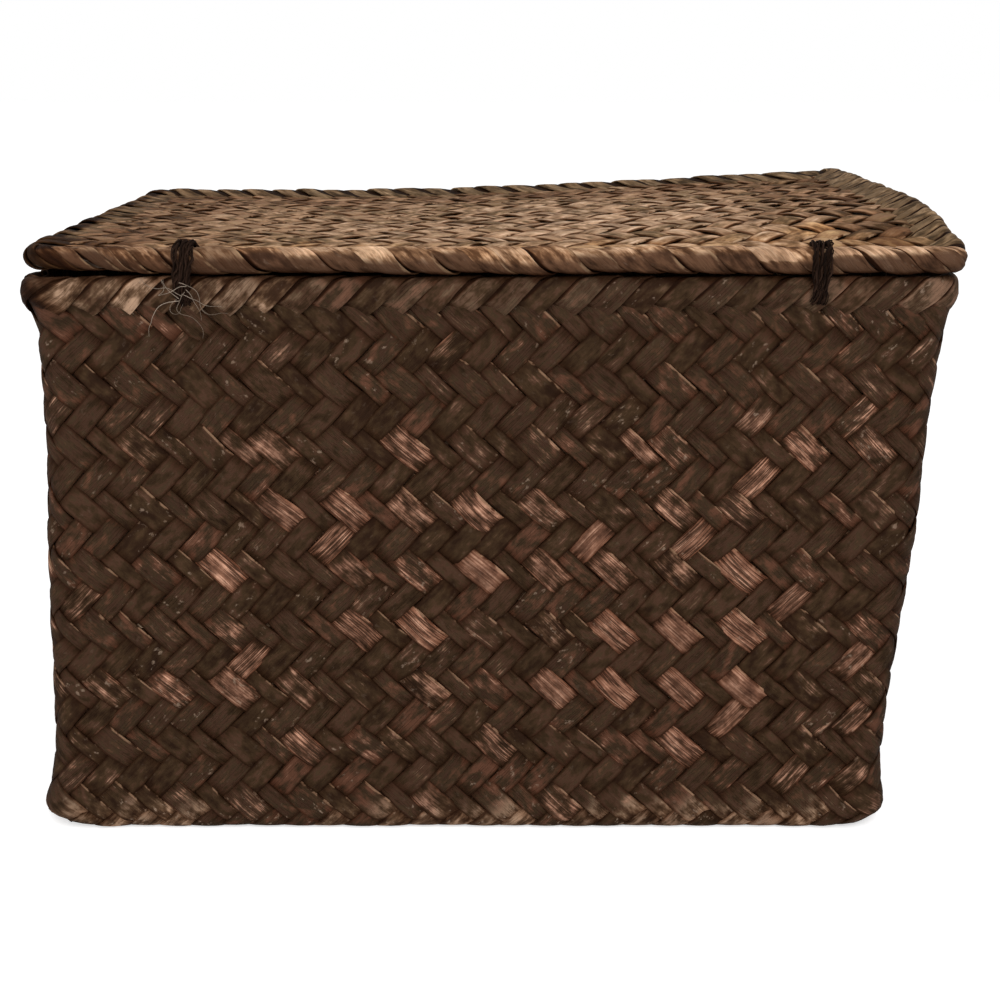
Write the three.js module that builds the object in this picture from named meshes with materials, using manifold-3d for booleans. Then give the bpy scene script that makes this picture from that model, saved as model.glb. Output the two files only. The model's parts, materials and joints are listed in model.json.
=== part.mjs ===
// A plaited strip box. Its lid lies on the rim and is tied to it at two places, which makes the hinge.
// Lengths are millimetres. X runs along the tied side, Y from the tied side to the far side, and Z up.
// The origin is on the table, under the middle of the box as seen from above.

import * as THREE from "three";
import { mergeVertices } from "three/addons/utils/BufferGeometryUtils.js";
import Module from "manifold-3d";

// Body
const bodyWidth = 346; // along the tied side, over the plait at the waist
const bodyDepth = 231;
const bodyHeight = 231; // table to the top of the rim fold
const bodyCorner = 12; // radius of the upright corners
const footRadius = 7; // round between the walls and the base
const footFlare = 2.2; // how far the walls step out again above the foot
const footFlareHeight = 30;
const footEar = 4; // the base corners stand out a little further
const footEarReach = 34;
const rimFlare = 2; // how far the walls step out under the rim
const rimFlareHeight = 130;
const lean = 13.5; // the rim stands this far to +X of the foot

// Plait
const stripPitch = 9.1; // from one strip to the next
const plaitThickness = 2;
const liningThickness = 1.2;
const layerGap = 0.3; // between layers that lie on each other

// Rim of the body
const rimHoopRadius = 2.6; // the rod that the strips turn over
const foldThickness = 1.3;
const foldGap = 0.5; // between the fold's legs and the wall
const foldDrop = 14; // the outer leg, from the rim's top down
const foldDropInside = 11;
const foldRib = 0.7; // how deep a turned strip lies under the edge of the next

// Lid
const lidOverhang = 2; // past the rim's outer face, on each side
const lidCorner = 16; // radius of the lid's outline
const lidSeatGap = 0.4; // between the lid's roll and the rim
const rollRadius = 5.5;
const rollHoopRadius = 3.2;
const rollRib = 0.8; // how deep a wrap lies under the edge of the next
const rollTwist = 12; // how far a wrap runs on between the roll's top and its underside
const panelRise = 1; // the panel's middle above the roll's axis
const panelGap = 0.5; // between the panel and the edges of the roll that it lies in
const lidCurl = 11; // the lid has warped up by this much along its right side
const lidCurlWidth = 250; // from that side to where the warp starts
const lidCurlStart = 6; // from the tied roll's axis to where the warp starts
const lidCurlReach = 80; // from there to where it is full

// Ties
const tieSpacing = 237; // between the middles of the two ties
const tieShift = 3; // the pair stands this far to +X of the lid's middle
const tieTurns = 3;
const cordRadius = 1.1;
const cordGap = 0.5; // between one turn and the next
const tieGap = 0.4; // between the cord and the roll that turns in it
const tieDrop = 4; // from the rim's top to where the legs turn in
const slotGap = 0.5; // round the cord where it passes through the plait
const slotHeadroom = 1;
const foldSlotRise = 1.4; // the fold's slots reach higher, as the cord slants out through it
const knotRadius = 2;
const knotShift = 1.6; // the knot's middle beyond the last turn
const knotGap = 0.3; // between the lower knot and the fold's inner leg

const wasm = await Module();
wasm.setup();

// Colours, from the stained strips of the walls to the worn ones of the lid
const finish = (color, roughness) => new THREE.MeshStandardMaterial({ color, roughness, metalness: 0 });
const darkPlait = finish(0x43352b, 0.62);
const wornPlait = finish(0x7a6350, 0.6);
const liningPlait = finish(0x57453a, 0.7);
const rimStrip = finish(0x7d5c44, 0.6);
const rodWood = finish(0xa88660, 0.65);
const tieCord = finish(0x2c2322, 0.8);

// A closed mesh as a solid that can be cut and joined
function solidOf(geometry) {
  const bare = geometry.index ? geometry.toNonIndexed() : geometry.clone();
  bare.deleteAttribute("normal");
  bare.deleteAttribute("uv");
  const merged = mergeVertices(bare, 1e-3);
  return new wasm.Manifold(
    new wasm.Mesh({
      numProp: 3,
      vertProperties: merged.attributes.position.array,
      triVerts: new Uint32Array(merged.index.array),
    }),
  );
}

function geometryOf(solid) {
  const mesh = solid.getMesh();
  const geometry = new THREE.BufferGeometry();
  geometry.setAttribute("position", new THREE.BufferAttribute(mesh.vertProperties, 3));
  geometry.setIndex(new THREE.BufferAttribute(mesh.triVerts, 1));
  geometry.computeVertexNormals();
  return geometry;
}

// Triangles as lists of three points, anticlockwise seen from outside
function solidFromFaces(faces) {
  const numbers = faces.flat().flatMap((point) => [point.x, point.y, point.z]);
  const geometry = new THREE.BufferGeometry();
  geometry.setAttribute("position", new THREE.BufferAttribute(new Float32Array(numbers), 3));
  return solidOf(geometry);
}

const cutBy = (solid, cutters) => cutters.reduce((left, cutter) => left.subtract(cutter), solid);

// Rings of points, one after another, joined into faces. A looped sweep joins its last ring to its
// first, and any other gets a flat cap at each end. Along the sweep, the rings run anticlockwise
// seen from ahead.
function sweep(rings, looped) {
  const faces = [];
  const count = rings[0].length;
  const joins = looped ? rings.length : rings.length - 1;
  for (let r = 0; r < joins; r++) {
    const near = rings[r];
    const far = rings[(r + 1) % rings.length];
    for (let i = 0; i < count; i++) {
      const next = (i + 1) % count;
      faces.push([near[i], near[next], far[next]], [near[i], far[next], far[i]]);
    }
  }
  if (!looped) {
    faces.push(...cap([...rings[0]].reverse()), ...cap(rings.at(-1)));
  }
  return solidFromFaces(faces);
}

function cap(ring) {
  const middle = new THREE.Vector3();
  ring.forEach((point) => middle.addScaledVector(point, 1 / ring.length));
  return ring.map((point, i) => [middle, point, ring[(i + 1) % ring.length]]);
}

// A rounded rectangle that starts in the middle of the tied side and runs to +X and round
function roundedOutline(halfX, halfY, radius) {
  const x = halfX - radius;
  const y = halfY - radius;
  const quarter = Math.PI / 2;
  return new THREE.Path()
    .moveTo(0, -halfY)
    .lineTo(x, -halfY)
    .absarc(x, -y, radius, -quarter, 0)
    .lineTo(halfX, y)
    .absarc(x, y, radius, 0, quarter)
    .lineTo(-x, halfY)
    .absarc(-x, y, radius, quarter, 2 * quarter)
    .lineTo(-halfX, -y)
    .absarc(-x, -y, radius, 2 * quarter, 3 * quarter)
    .lineTo(0, -halfY);
}

// A place by its share of the way round an outline, and the direction that leads out there
const turnShare = (share) => ((share % 1) + 1) % 1;
function placeOn(outline, share) {
  const at = outline.getPoint(turnShare(share));
  const along = outline.getTangent(turnShare(share));
  return { x: at.x, y: at.y, outX: along.y, outY: -along.x };
}

// Shares of the way round: steps round each corner, and along each straight side what steps() gives
const cornerSteps = 5;
function stationsOn(outline, straightSteps) {
  const total = outline.getLength();
  const stations = [];
  let before = 0;
  for (const piece of outline.curves) {
    const length = piece.getLength();
    const steps = piece.isEllipseCurve
      ? Array.from({ length: cornerSteps }, (_, i) => (i / cornerSteps) * length)
      : straightSteps(length);
    stations.push(...steps.map((step) => (before + step) / total));
    before += length;
  }
  return stations;
}

// The walls' outline, and how far the ears of the base corners reach from each corner's middle
const wallOutline = roundedOutline(bodyWidth / 2, bodyDepth / 2, bodyCorner);
const wallLength = wallOutline.getLength();
const wallStations = stationsOn(wallOutline, (length) => [
  0,
  Math.min(footEarReach, length / 3),
  length - Math.min(footEarReach, length / 3),
]);
const smooth = (value) => THREE.MathUtils.smoothstep(value, 0, 1);

function earAt(at) {
  const fromCorner = Math.hypot(bodyWidth / 2 - Math.abs(at.x), bodyDepth / 2 - Math.abs(at.y));
  return footEar * (1 - smooth(fromCorner / footEarReach));
}

// How far the walls' outer face stands outside the waist at a height
function flareAt(at, z) {
  const rim = rimFlare * smooth((z - (bodyHeight - rimFlareHeight)) / rimFlareHeight);
  const low = 1 - smooth(z / footFlareHeight);
  return rim + (footFlare + earAt(at)) * low;
}

// A point by its share of the way round the walls, how far out of their outer face, and its height
const leanAt = (z) => (lean * z) / bodyHeight;
function bodyPoint(share, out, z) {
  const at = placeOn(wallOutline, share);
  const reach = out + flareAt(at, z);
  return new THREE.Vector3(at.x + at.outX * reach + leanAt(z), at.y + at.outY * reach, z);
}

// Heights and reaches at the body's rim
const rimHoopZ = bodyHeight - foldThickness - layerGap - rimHoopRadius;
const wallTop = rimHoopZ - rimHoopRadius - layerGap;
const wallStack = plaitThickness + layerGap + liningThickness;
const rimMiddle = -wallStack / 2;
const foldOut = rimMiddle + rimHoopRadius + layerGap + foldThickness;
const rimHalfX = bodyWidth / 2 + rimFlare + foldOut;
const rimHalfY = bodyDepth / 2 + rimFlare + foldOut;

// The lid's outline along the axis of its roll, over the rim
const lidHalfX = rimHalfX + lidOverhang;
const lidHalfY = rimHalfY + lidOverhang;
const lidX = leanAt(bodyHeight);
const rollY = -lidHalfY + rollRadius;
const rollZ = bodyHeight + lidSeatGap + rollRadius;

// The ties' loops, across the tied side: over the roll, and down through the fold and the wall
const tieRadius = rollRadius + tieGap + cordRadius;
const tieLegFoot = bodyHeight - tieDrop;
const cordPitch = 2 * cordRadius + cordGap;
const tieHalfWidth = (tieTurns * cordPitch) / 2;
const tieMiddles = [-tieSpacing / 2, tieSpacing / 2].map((x) => lidX + tieShift + x);

// A block round a tie's cords where they pass through something
function slotBlock(tieX, yFrom, yTo, zFrom, zTo) {
  const width = 2 * (tieHalfWidth + cordRadius + slotGap);
  const block = new THREE.BoxGeometry(width, yTo - yFrom, zTo - zFrom);
  block.translate(tieX, (yFrom + yTo) / 2, (zFrom + zTo) / 2);
  return solidOf(block);
}

const slotLow = tieLegFoot - tieRadius - cordRadius - slotGap;
const slotHigh = tieLegFoot - tieRadius + cordRadius + slotGap + slotHeadroom;
const slotsUpTo = (top) =>
  tieMiddles.map((x) => slotBlock(x, rollY - tieRadius, rollY + tieRadius, slotLow, top));
const wallSlots = slotsUpTo(slotHigh);
const foldSlots = slotsUpTo(slotHigh + foldSlotRise);

// The solid inside a face that lies a given depth behind the walls' outer one, from the base to a height
const footSteps = 3;
const flareSteps = 3;
function wallBlock(depth, top) {
  const radius = footRadius - depth;
  const profile = [];
  for (let i = 0; i <= footSteps; i++) {
    const angle = (Math.PI / 2) * (i / footSteps);
    profile.push({ out: radius * Math.sin(angle) - footRadius, z: footRadius - radius * Math.cos(angle) });
  }
  for (let i = 1; i <= flareSteps; i++) {
    const z = THREE.MathUtils.lerp(footRadius, footFlareHeight, i / flareSteps);
    profile.push({ out: -depth, z });
  }
  for (let i = 0; i <= flareSteps; i++) {
    const z = THREE.MathUtils.lerp(bodyHeight - rimFlareHeight, top, i / flareSteps);
    profile.push({ out: -depth, z });
  }
  const rings = profile.map(({ out, z }) => wallStations.map((share) => bodyPoint(share, out, z)));
  return sweep(rings, false);
}

// Body: the plaited shell of walls and base
const bodyPlait = () =>
  cutBy(wallBlock(0, wallTop), [wallBlock(plaitThickness, bodyHeight), ...wallSlots]);

// Body: the lining inside the shell
const bodyLining = () =>
  cutBy(wallBlock(plaitThickness + layerGap, wallTop), [
    wallBlock(wallStack, bodyHeight),
    ...wallSlots,
  ]);

// Points on an arc round a middle, with the direction that leads out of the arc
function arcPoints(middle, radius, from, to, steps) {
  return Array.from({ length: steps + 1 }, (_, i) => {
    const angle = THREE.MathUtils.lerp(from, to, i / steps);
    const outward = { x: Math.cos(angle), y: Math.sin(angle) };
    return { x: middle.x + radius * outward.x, y: middle.y + radius * outward.y, outward };
  });
}

// The same, with its points moved out so that its chords stay clear of the arc
const arcRound = (middle, radius, from, to, steps) =>
  arcPoints(middle, radius / Math.cos((to - from) / steps / 2), from, to, steps);

// A rim made of strips that go round it one after another, each with its edge on the next.
// In the section, x leads out and y up, and sink says how far a point lies down beside an edge.
// slant gives how far along the rim a point of a strip lies, by its height in the section.
const lapShare = 0.78; // how much of a strip's width slopes up to its edge
const straightCosine = 0.999; // a wrap on a straight side needs one step, and one on a corner two
function strippedRim(outline, section, slant, pointAt) {
  const length = outline.getLength();
  const wraps = Math.round(length / (stripPitch * Math.SQRT2));
  const slants = section.map((point) => slant(point.y) / length);
  const rings = [];
  for (let wrap = 0; wrap < wraps; wrap++) {
    const first = outline.getTangent(turnShare(wrap / wraps + Math.min(...slants)));
    const last = outline.getTangent(turnShare((wrap + 1) / wraps + Math.max(...slants)));
    const steps = first.dot(last) > straightCosine ? 1 : 2;
    for (let step = 0; step <= steps; step++) {
      const phase = step / steps;
      const ring = section.map((point, i) => {
        const depth = (1 - phase) * point.sink;
        const share = (wrap + phase * lapShare) / wraps + slants[i];
        return pointAt(share, point.x - depth * point.outward.x, point.y - depth * point.outward.y);
      });
      rings.push(ring);
    }
  }
  return sweep(rings, true);
}

const sweptSection = (section, stations, pointAt) =>
  sweep(stations.map((share) => section.map((point) => pointAt(share, point.x, point.y))), true);

// Heights at the rim are measured from its top
const rimPoint = (share, out, up) => bodyPoint(share, out, bodyHeight + up);
const hoopMiddle = { x: rimMiddle, y: rimHoopZ - bodyHeight };

const archSteps = 4;

// Body: the strips turned down over the rim, inside and out. Their outer legs slant up to the right.
function rimFold() {
  const legFace = foldGap + foldThickness;
  const arch = arcPoints(hoopMiddle, rimHoopRadius + layerGap + foldThickness, Math.PI, 0, archSteps);
  const section = [
    { x: -wallStack - legFace, y: -foldDropInside, outward: { x: -1, y: 0 }, sink: 0 },
    ...arch.map((point, i) => ({ ...point, sink: i === 0 ? 0 : foldRib })),
    { x: legFace, y: -foldDrop, outward: { x: 1, y: 0 }, sink: foldRib / 2 },
  ];
  const slant = (up) => up + foldDrop;
  return cutBy(strippedRim(wallOutline, section, slant, rimPoint), [rimChannel(), ...foldSlots]);
}

// The space in the fold, for the hoop and the top of the walls
function rimChannel() {
  const past = -foldDrop - layerGap;
  const section = [
    { x: -wallStack - foldGap, y: past },
    ...arcRound(hoopMiddle, rimHoopRadius + layerGap, Math.PI, 0, archSteps),
    { x: foldGap, y: past },
  ];
  return sweptSection(section, wallStations, rimPoint);
}

// A rod bent round an outline, its two ends butted in the middle of the far side
const rodSides = 6;
const buttGap = 0.6;
function bentRod(middle, radius, outline, stations, pointAt) {
  const halfGap = buttGap / 2 / outline.getLength();
  const shares = [
    0.5 + halfGap,
    ...stations.filter((share) => share > 0.5 + halfGap),
    ...stations.filter((share) => share < 0.5 - halfGap),
    0.5 - halfGap,
  ];
  const section = arcPoints(middle, radius, 2 * Math.PI, 0, rodSides).slice(1);
  return sweep(
    shares.map((share) => section.map((point) => pointAt(share, point.x, point.y))),
    false,
  );
}

// Body: the rod in the fold
const rimHoop = () => bentRod(hoopMiddle, rimHoopRadius, wallOutline, wallStations, rimPoint);

// How far the warp has lifted the lid at a place
const curlFoot = rollY + lidCurlStart;
const curlPower = 1.5; // above 1, so that the warp starts gently
function curlAt(x, y) {
  const across = THREE.MathUtils.clamp(1 - (lidHalfX - x) / lidCurlWidth, 0, 1);
  const away = THREE.MathUtils.clamp((y - curlFoot) / lidCurlReach, 0, 1);
  return lidCurl * across ** curlPower * Math.sin((away * Math.PI) / 2);
}

// A point of the lid by its place from the lid's middle, and its height from the roll's axis
const lidPlace = (x, y, up) => new THREE.Vector3(x + lidX, y, rollZ + up + curlAt(x, y));

const rollOutline = roundedOutline(
  lidHalfX - rollRadius,
  lidHalfY - rollRadius,
  lidCorner - rollRadius,
);
const curlStep = 24; // between stations on the lid's straight sides, so that they follow its warp
const rollStations = stationsOn(rollOutline, (length) => {
  const steps = Math.ceil(length / curlStep);
  return Array.from({ length: steps }, (_, i) => (i / steps) * length);
});

function rollPoint(share, out, up) {
  const at = placeOn(rollOutline, share);
  return lidPlace(at.x + at.outX * out, at.y + at.outY * out, up);
}

// Lid: the strips wrapped round its edge, slanting down to the right
const panelTop = panelRise + wallStack / 2;
const panelFoot = panelRise - wallStack / 2;
const rollMiddle = { x: 0, y: 0 };
const rollSides = 7;
function lidRoll() {
  const half = Math.PI / rollSides;
  const section = arcPoints(rollMiddle, rollRadius, 2 * Math.PI + half, half, rollSides)
    .slice(1)
    .map((point) => ({ ...point, sink: rollRib }));
  const slant = (up) => (-rollTwist * up) / (2 * rollRadius);
  return strippedRim(rollOutline, section, slant, rollPoint).subtract(rollChannel());
}

// The space in the roll, open towards the lid's panel
function rollChannel() {
  const radius = rollHoopRadius + layerGap;
  const topAngle = Math.PI - Math.asin((panelTop + panelGap) / radius);
  const footAngle = -Math.PI - Math.asin((panelFoot - panelGap) / radius);
  const past = -2 * rollRadius;
  const section = [
    { x: past, y: panelFoot - panelGap },
    { x: past, y: panelTop + panelGap },
    ...arcRound(rollMiddle, radius, topAngle, footAngle, rollSides),
  ];
  return sweptSection(section, rollStations, rollPoint);
}

// Lid: the rod in the roll
const rollHoop = () => bentRod(rollMiddle, rollHoopRadius, rollOutline, rollStations, rollPoint);

// Lines across the lid, close together only where the warp bends it
const warpSteps = 7;
const warpLines = (from, to) =>
  Array.from({ length: warpSteps + 1 }, (_, i) => THREE.MathUtils.lerp(from, to, i / warpSteps));
const sheetXs = [-lidHalfX, ...warpLines(lidHalfX - lidCurlWidth, lidHalfX)];
const sheetYs = [-lidHalfY, ...warpLines(curlFoot, curlFoot + lidCurlReach), lidHalfY];

// A sheet of the lid between two heights, warped as the lid is
function lidSheet(footUp, topUp) {
  const at = (i, j, up) => lidPlace(sheetXs[i], sheetYs[j], up);
  const right = sheetXs.length - 1;
  const far = sheetYs.length - 1;
  const faces = [];
  const quad = (a, b, c, d) => faces.push([a, b, c], [a, c, d]);
  for (let i = 0; i < right; i++) {
    for (let j = 0; j < far; j++) {
      quad(at(i, j, topUp), at(i + 1, j, topUp), at(i + 1, j + 1, topUp), at(i, j + 1, topUp));
      quad(at(i, j, footUp), at(i, j + 1, footUp), at(i + 1, j + 1, footUp), at(i + 1, j, footUp));
    }
    quad(at(i, 0, footUp), at(i + 1, 0, footUp), at(i + 1, 0, topUp), at(i, 0, topUp));
    quad(at(i + 1, far, footUp), at(i, far, footUp), at(i, far, topUp), at(i + 1, far, topUp));
  }
  for (let j = 0; j < far; j++) {
    quad(at(right, j, footUp), at(right, j + 1, footUp), at(right, j + 1, topUp), at(right, j, topUp));
    quad(at(0, j + 1, footUp), at(0, j, footUp), at(0, j, topUp), at(0, j + 1, topUp));
  }
  return solidFromFaces(faces);
}

// The lid's sheets end in the roll, against the rod, and leave room for the ties
function trimmedToLid(sheet) {
  const edge = rollRadius + rollHoopRadius + layerGap;
  const outline = roundedOutline(lidHalfX - edge, lidHalfY - edge, lidCorner - edge);
  const prism = new THREE.ExtrudeGeometry(new THREE.Shape(outline.getPoints(cornerSteps)), {
    depth: bodyHeight,
    bevelEnabled: false,
  });
  prism.translate(lidX, 0, rollZ - bodyHeight / 2);
  const notchTo = rollY + tieRadius + cordRadius + slotGap;
  const notches = tieMiddles.map((x) =>
    slotBlock(x, rollY, notchTo, rollZ - rollRadius, rollZ + rollRadius),
  );
  return cutBy(sheet.intersect(solidOf(prism)), notches);
}

const lidPlait = () => trimmedToLid(lidSheet(panelTop - plaitThickness, panelTop));
const lidLining = () => trimmedToLid(lidSheet(panelFoot, panelFoot + liningThickness));

// The way of a tie's cord in the plane across the roll's axis, as straight and round stretches.
// It comes out through the wall, goes over the roll and back in, and so on for each turn.
const quarter = Math.PI / 2;
const straight = (from, to) => ({
  length: Math.hypot(to[0] - from[0], to[1] - from[1]),
  at: (share) => [
    THREE.MathUtils.lerp(from[0], to[0], share),
    THREE.MathUtils.lerp(from[1], to[1], share),
  ],
});
const round = (z, from, to) => ({
  length: tieRadius * Math.abs(to - from),
  at: (share) => {
    const angle = THREE.MathUtils.lerp(from, to, share);
    return [rollY + tieRadius * Math.cos(angle), z + tieRadius * Math.sin(angle)];
  },
});

const inY = rollY + tieRadius;
const outY = rollY - tieRadius;
const tieLoop = [
  { piece: round(tieLegFoot, -quarter, -2 * quarter), steps: 4 },
  { piece: straight([outY, tieLegFoot], [outY, rollZ]), steps: 4 },
  { piece: round(rollZ, 2 * quarter, 0), steps: 8 },
  { piece: straight([inY, rollZ], [inY, tieLegFoot]), steps: 4 },
  { piece: round(tieLegFoot, 0, -quarter), steps: 4 },
];

// The points of a tie's cord, each turn one pitch further along X
function tiePoints(tieX) {
  const loopLength = tieLoop.reduce((sum, { piece }) => sum + piece.length, 0);
  const foldY = -bodyDepth / 2 - rimFlare + wallStack + foldGap + foldThickness;
  const bottom = tieLegFoot - tieRadius;
  const points = [[foldY + knotGap + knotRadius, bottom, 0]];
  let travel = 0;
  for (let turn = 0; turn < tieTurns; turn++) {
    const last = turn === tieTurns - 1;
    for (const { piece, steps } of last ? tieLoop.slice(0, -1) : tieLoop) {
      for (let step = 0; step < steps; step++) {
        const share = step / steps;
        points.push([...piece.at(share), travel + (share * piece.length) / loopLength]);
      }
      travel += piece.length / loopLength;
    }
  }
  points.push([inY, tieLegFoot, travel]);
  points.push([inY, bottom + knotRadius, travel]);
  const half = travel / 2;
  return points.map(([y, z, turned]) => new THREE.Vector3(tieX + (turned - half) * cordPitch, y, z));
}

// The least gap between a cord's turns: from each point to the stretches one turn on
function leastGap(points) {
  const perTurn = tieLoop.reduce((sum, { steps }) => sum + steps, 0);
  let least = Infinity;
  points.forEach((point, i) => {
    for (let j = i + perTurn / 2; j + 1 < points.length; j++) {
      const near = new THREE.Line3(points[j], points[j + 1]).closestPointToPoint(
        point,
        true,
        new THREE.Vector3(),
      );
      least = Math.min(least, near.distanceTo(point) - 2 * cordRadius);
    }
  });
  return least;
}

// Hinge: one cord, wound through the wall and over the roll, and knotted inside the box at both ends
const cordSides = 6;
function hingeTie(tieX) {
  const points = tiePoints(tieX);
  const across = new THREE.Vector3(1, 0, 0);
  const rings = points.map((point, i) => {
    const before = points[Math.max(i - 1, 0)];
    const after = points[Math.min(i + 1, points.length - 1)];
    const along = after.clone().sub(before).normalize();
    const side = across.clone().addScaledVector(along, -along.x).normalize();
    const up = along.clone().cross(side);
    return Array.from({ length: cordSides }, (_, k) => {
      const angle = (2 * Math.PI * k) / cordSides;
      return point
        .clone()
        .addScaledVector(side, cordRadius * Math.cos(angle))
        .addScaledVector(up, cordRadius * Math.sin(angle));
    });
  });
  const knots = [
    [points[0], -knotShift],
    [points.at(-1), knotShift],
  ].map(([end, shift]) => {
    const knot = new THREE.SphereGeometry(knotRadius, 8, 6);
    knot.translate(end.x + shift, end.y, end.z);
    return solidOf(knot);
  });
  console.log(`least gap between a tie's turns: ${leastGap(points).toFixed(2)} mm`);
  return knots.reduce((joined, knot) => joined.add(knot), sweep(rings, false));
}

// The box
const box = new THREE.Group();
function place(name, solid, material) {
  const mesh = new THREE.Mesh(geometryOf(solid), material);
  mesh.name = name;
  box.add(mesh);
}

place("body_outer_plait", bodyPlait(), darkPlait);
place("body_inner_lining", bodyLining(), liningPlait);
place("body_rim_hoop", rimHoop(), rodWood);
place("body_rim_fold", rimFold(), rimStrip);
place("lid_top_plait", lidPlait(), wornPlait);
place("lid_inner_lining", lidLining(), liningPlait);
place("lid_rim_hoop", rollHoop(), rodWood);
place("lid_rim_roll", lidRoll(), rimStrip);
place("hinge_tie_left", hingeTie(tieMiddles[0]), tieCord);
place("hinge_tie_right", hingeTie(tieMiddles[1]), tieCord);

// The origin under the middle of the whole
const middle = new THREE.Box3().setFromObject(box).getCenter(new THREE.Vector3());
box.position.set(-middle.x, -middle.y, 0);

export default box;
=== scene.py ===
"""A plaited strip box whose lid is tied on at two places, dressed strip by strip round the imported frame.

Lengths are millimetres in the row frame, and turn into metres where a mesh is made.
"""

import json
import math
from types import SimpleNamespace

import bpy
import numpy as np
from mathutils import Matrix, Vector


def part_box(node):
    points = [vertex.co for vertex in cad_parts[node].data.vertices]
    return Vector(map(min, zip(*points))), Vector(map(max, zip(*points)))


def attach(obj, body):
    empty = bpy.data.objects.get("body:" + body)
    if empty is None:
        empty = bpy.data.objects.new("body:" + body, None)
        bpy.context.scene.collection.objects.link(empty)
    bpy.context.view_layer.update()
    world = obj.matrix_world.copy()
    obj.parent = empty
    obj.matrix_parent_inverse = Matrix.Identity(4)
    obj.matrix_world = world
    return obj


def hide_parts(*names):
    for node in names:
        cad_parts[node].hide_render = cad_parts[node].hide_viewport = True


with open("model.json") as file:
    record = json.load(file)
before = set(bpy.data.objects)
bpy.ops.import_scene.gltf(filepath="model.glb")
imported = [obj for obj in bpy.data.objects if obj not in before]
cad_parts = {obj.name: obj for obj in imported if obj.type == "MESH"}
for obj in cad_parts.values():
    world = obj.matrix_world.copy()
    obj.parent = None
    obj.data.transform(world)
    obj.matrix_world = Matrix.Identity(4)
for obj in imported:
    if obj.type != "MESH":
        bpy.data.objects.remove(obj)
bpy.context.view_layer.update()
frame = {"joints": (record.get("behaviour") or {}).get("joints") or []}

MM = 0.001
ROOT2 = math.sqrt(2)
rng = np.random.default_rng(7)


def node_box(node):
    """The lowest and the highest corner of a node."""
    low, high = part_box(node)
    return np.array(low) / MM, np.array(high) / MM


# Body: the part's own sizes
BODY_HALF = np.array([346.0, 231.0]) / 2
BODY_CORNER = 12.0
BODY_HEIGHT = node_box("body_rim_fold")[1][2]
FOOT_RADIUS = 7.0
FOOT_FLARE = 2.2
FOOT_FLARE_HEIGHT = 30.0
FOOT_EAR = 4.0
FOOT_EAR_REACH = 34.0
RIM_FLARE = 2.0
RIM_FLARE_HEIGHT = 130.0
LEAN = 13.5
WALL_STACK = 3.5

# Body: forms that are in the scene alone
CORNER_REACH = 26.0  # how far from an upright corner these forms run
CORNER_TUCK = 5.0  # how far the worn lowest corners draw in
CORNER_TUCK_HEIGHT = 11.0
CORNER_LIFT = 2.0
LIP_FLARE = 4.5  # how far the fold stands out at the tied side's left corner
LIP_RISE = (24.0, 8.0)  # the depths under the rim at which that starts and is full
BULGE_RISE = (12.0, 52.0)  # the heights at which the walls' bulges start and are full
BULGE_FALL = (8.0, 38.0)  # the depths under the rim at which they are gone and still full

# The rim's fold: where it starts under the rim, and the arch over its hoop
FOLD_START = 14.5
FOLD_STEP = 2.0  # from where the walls start to step out to where the fold starts
FOLD_HASTE = 1.4  # above 1, so that the step out is over before the arch
FOLD_INSIDE = 7.0
FOLD_SLANT = 0.4  # how far the end inside stands out from the arch's foot
ARCH_RADIUS = 4.2
ARCH_OUT = -WALL_STACK / 2
ARCH_SINK = 0.4  # how much lower the strips lie on the arch, clear of the lid's roll
FOLD_OUT = ARCH_OUT + ARCH_RADIUS

# Lid
LID_OVERHANG = 2.0
LID_CORNER = 16.0
ROLL_RADIUS = 5.5
ROLL_HALF = BODY_HALF + RIM_FLARE + FOLD_OUT + LID_OVERHANG - ROLL_RADIUS
HINGE = np.array(frame["joints"][0]["pos_m"]) / MM
PANEL_TOP = 2.75  # over the roll's axis, as the next is
PANEL_FOOT = -1.3
LID_CURL = 11.0
LID_CURL_WIDTH = 250.0
LID_CURL_START = 6.0
LID_CURL_REACH = 80.0
LID_CURL_POWER = 1.5  # above 1, so that the warp starts gently
LEFT_THIN = 0.13  # the share by which the roll thins toward the tied side's left corner
LEFT_THIN_X = (-120.0, -165.0)  # where that starts and is full, from the lid's middle
LEFT_THIN_Y = (-95.0, -113.0)

# A wrap's way, out and up from the roll's axis: its start under the panel, its turn round the roll,
# and its tail in over the panel
WRAP_START = (-6.5, -2.2)
WRAP_FIRST = math.radians(-140)
WRAP_LAST = math.radians(116)
WRAP_TAIL = [(-4.9, 4.35), (-7.3, 3.75), (-10.0, 3.3), (-12.5, 2.6), (-14.5, 1.4)]

# Wraps
ROLL_WRAPS = 101
RIGHT_WRAPS = slice(10, 39)  # narrow ones, from the roll's right end and along its right side
RIGHT_WRAP_SHARE = 0.6
LEFT_WRAPS = slice(-19, -10)
LEFT_WRAP_SHARE = 0.55
WRAP_SLANT = 0.75  # how far a wrap runs sideways for each millimetre round the roll
WRAP_COVER = 1.25  # its width for each millimetre to the next one
WRAP_TIP = 0.6  # its width at the tail's end, as a share of that
LEFT_END = -105.0  # where the duller left end of the roll starts
BARE_X = (40.0, 110.0)  # between these, the front's wraps get more rubbed

# Middles of the lid and of the base, as seen from above
LID_MIDDLE = np.mean(node_box("lid_top_plait"), axis=0)[:2]
FOOT_MIDDLE = LID_MIDDLE - np.array([LEAN, 0.0])

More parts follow.
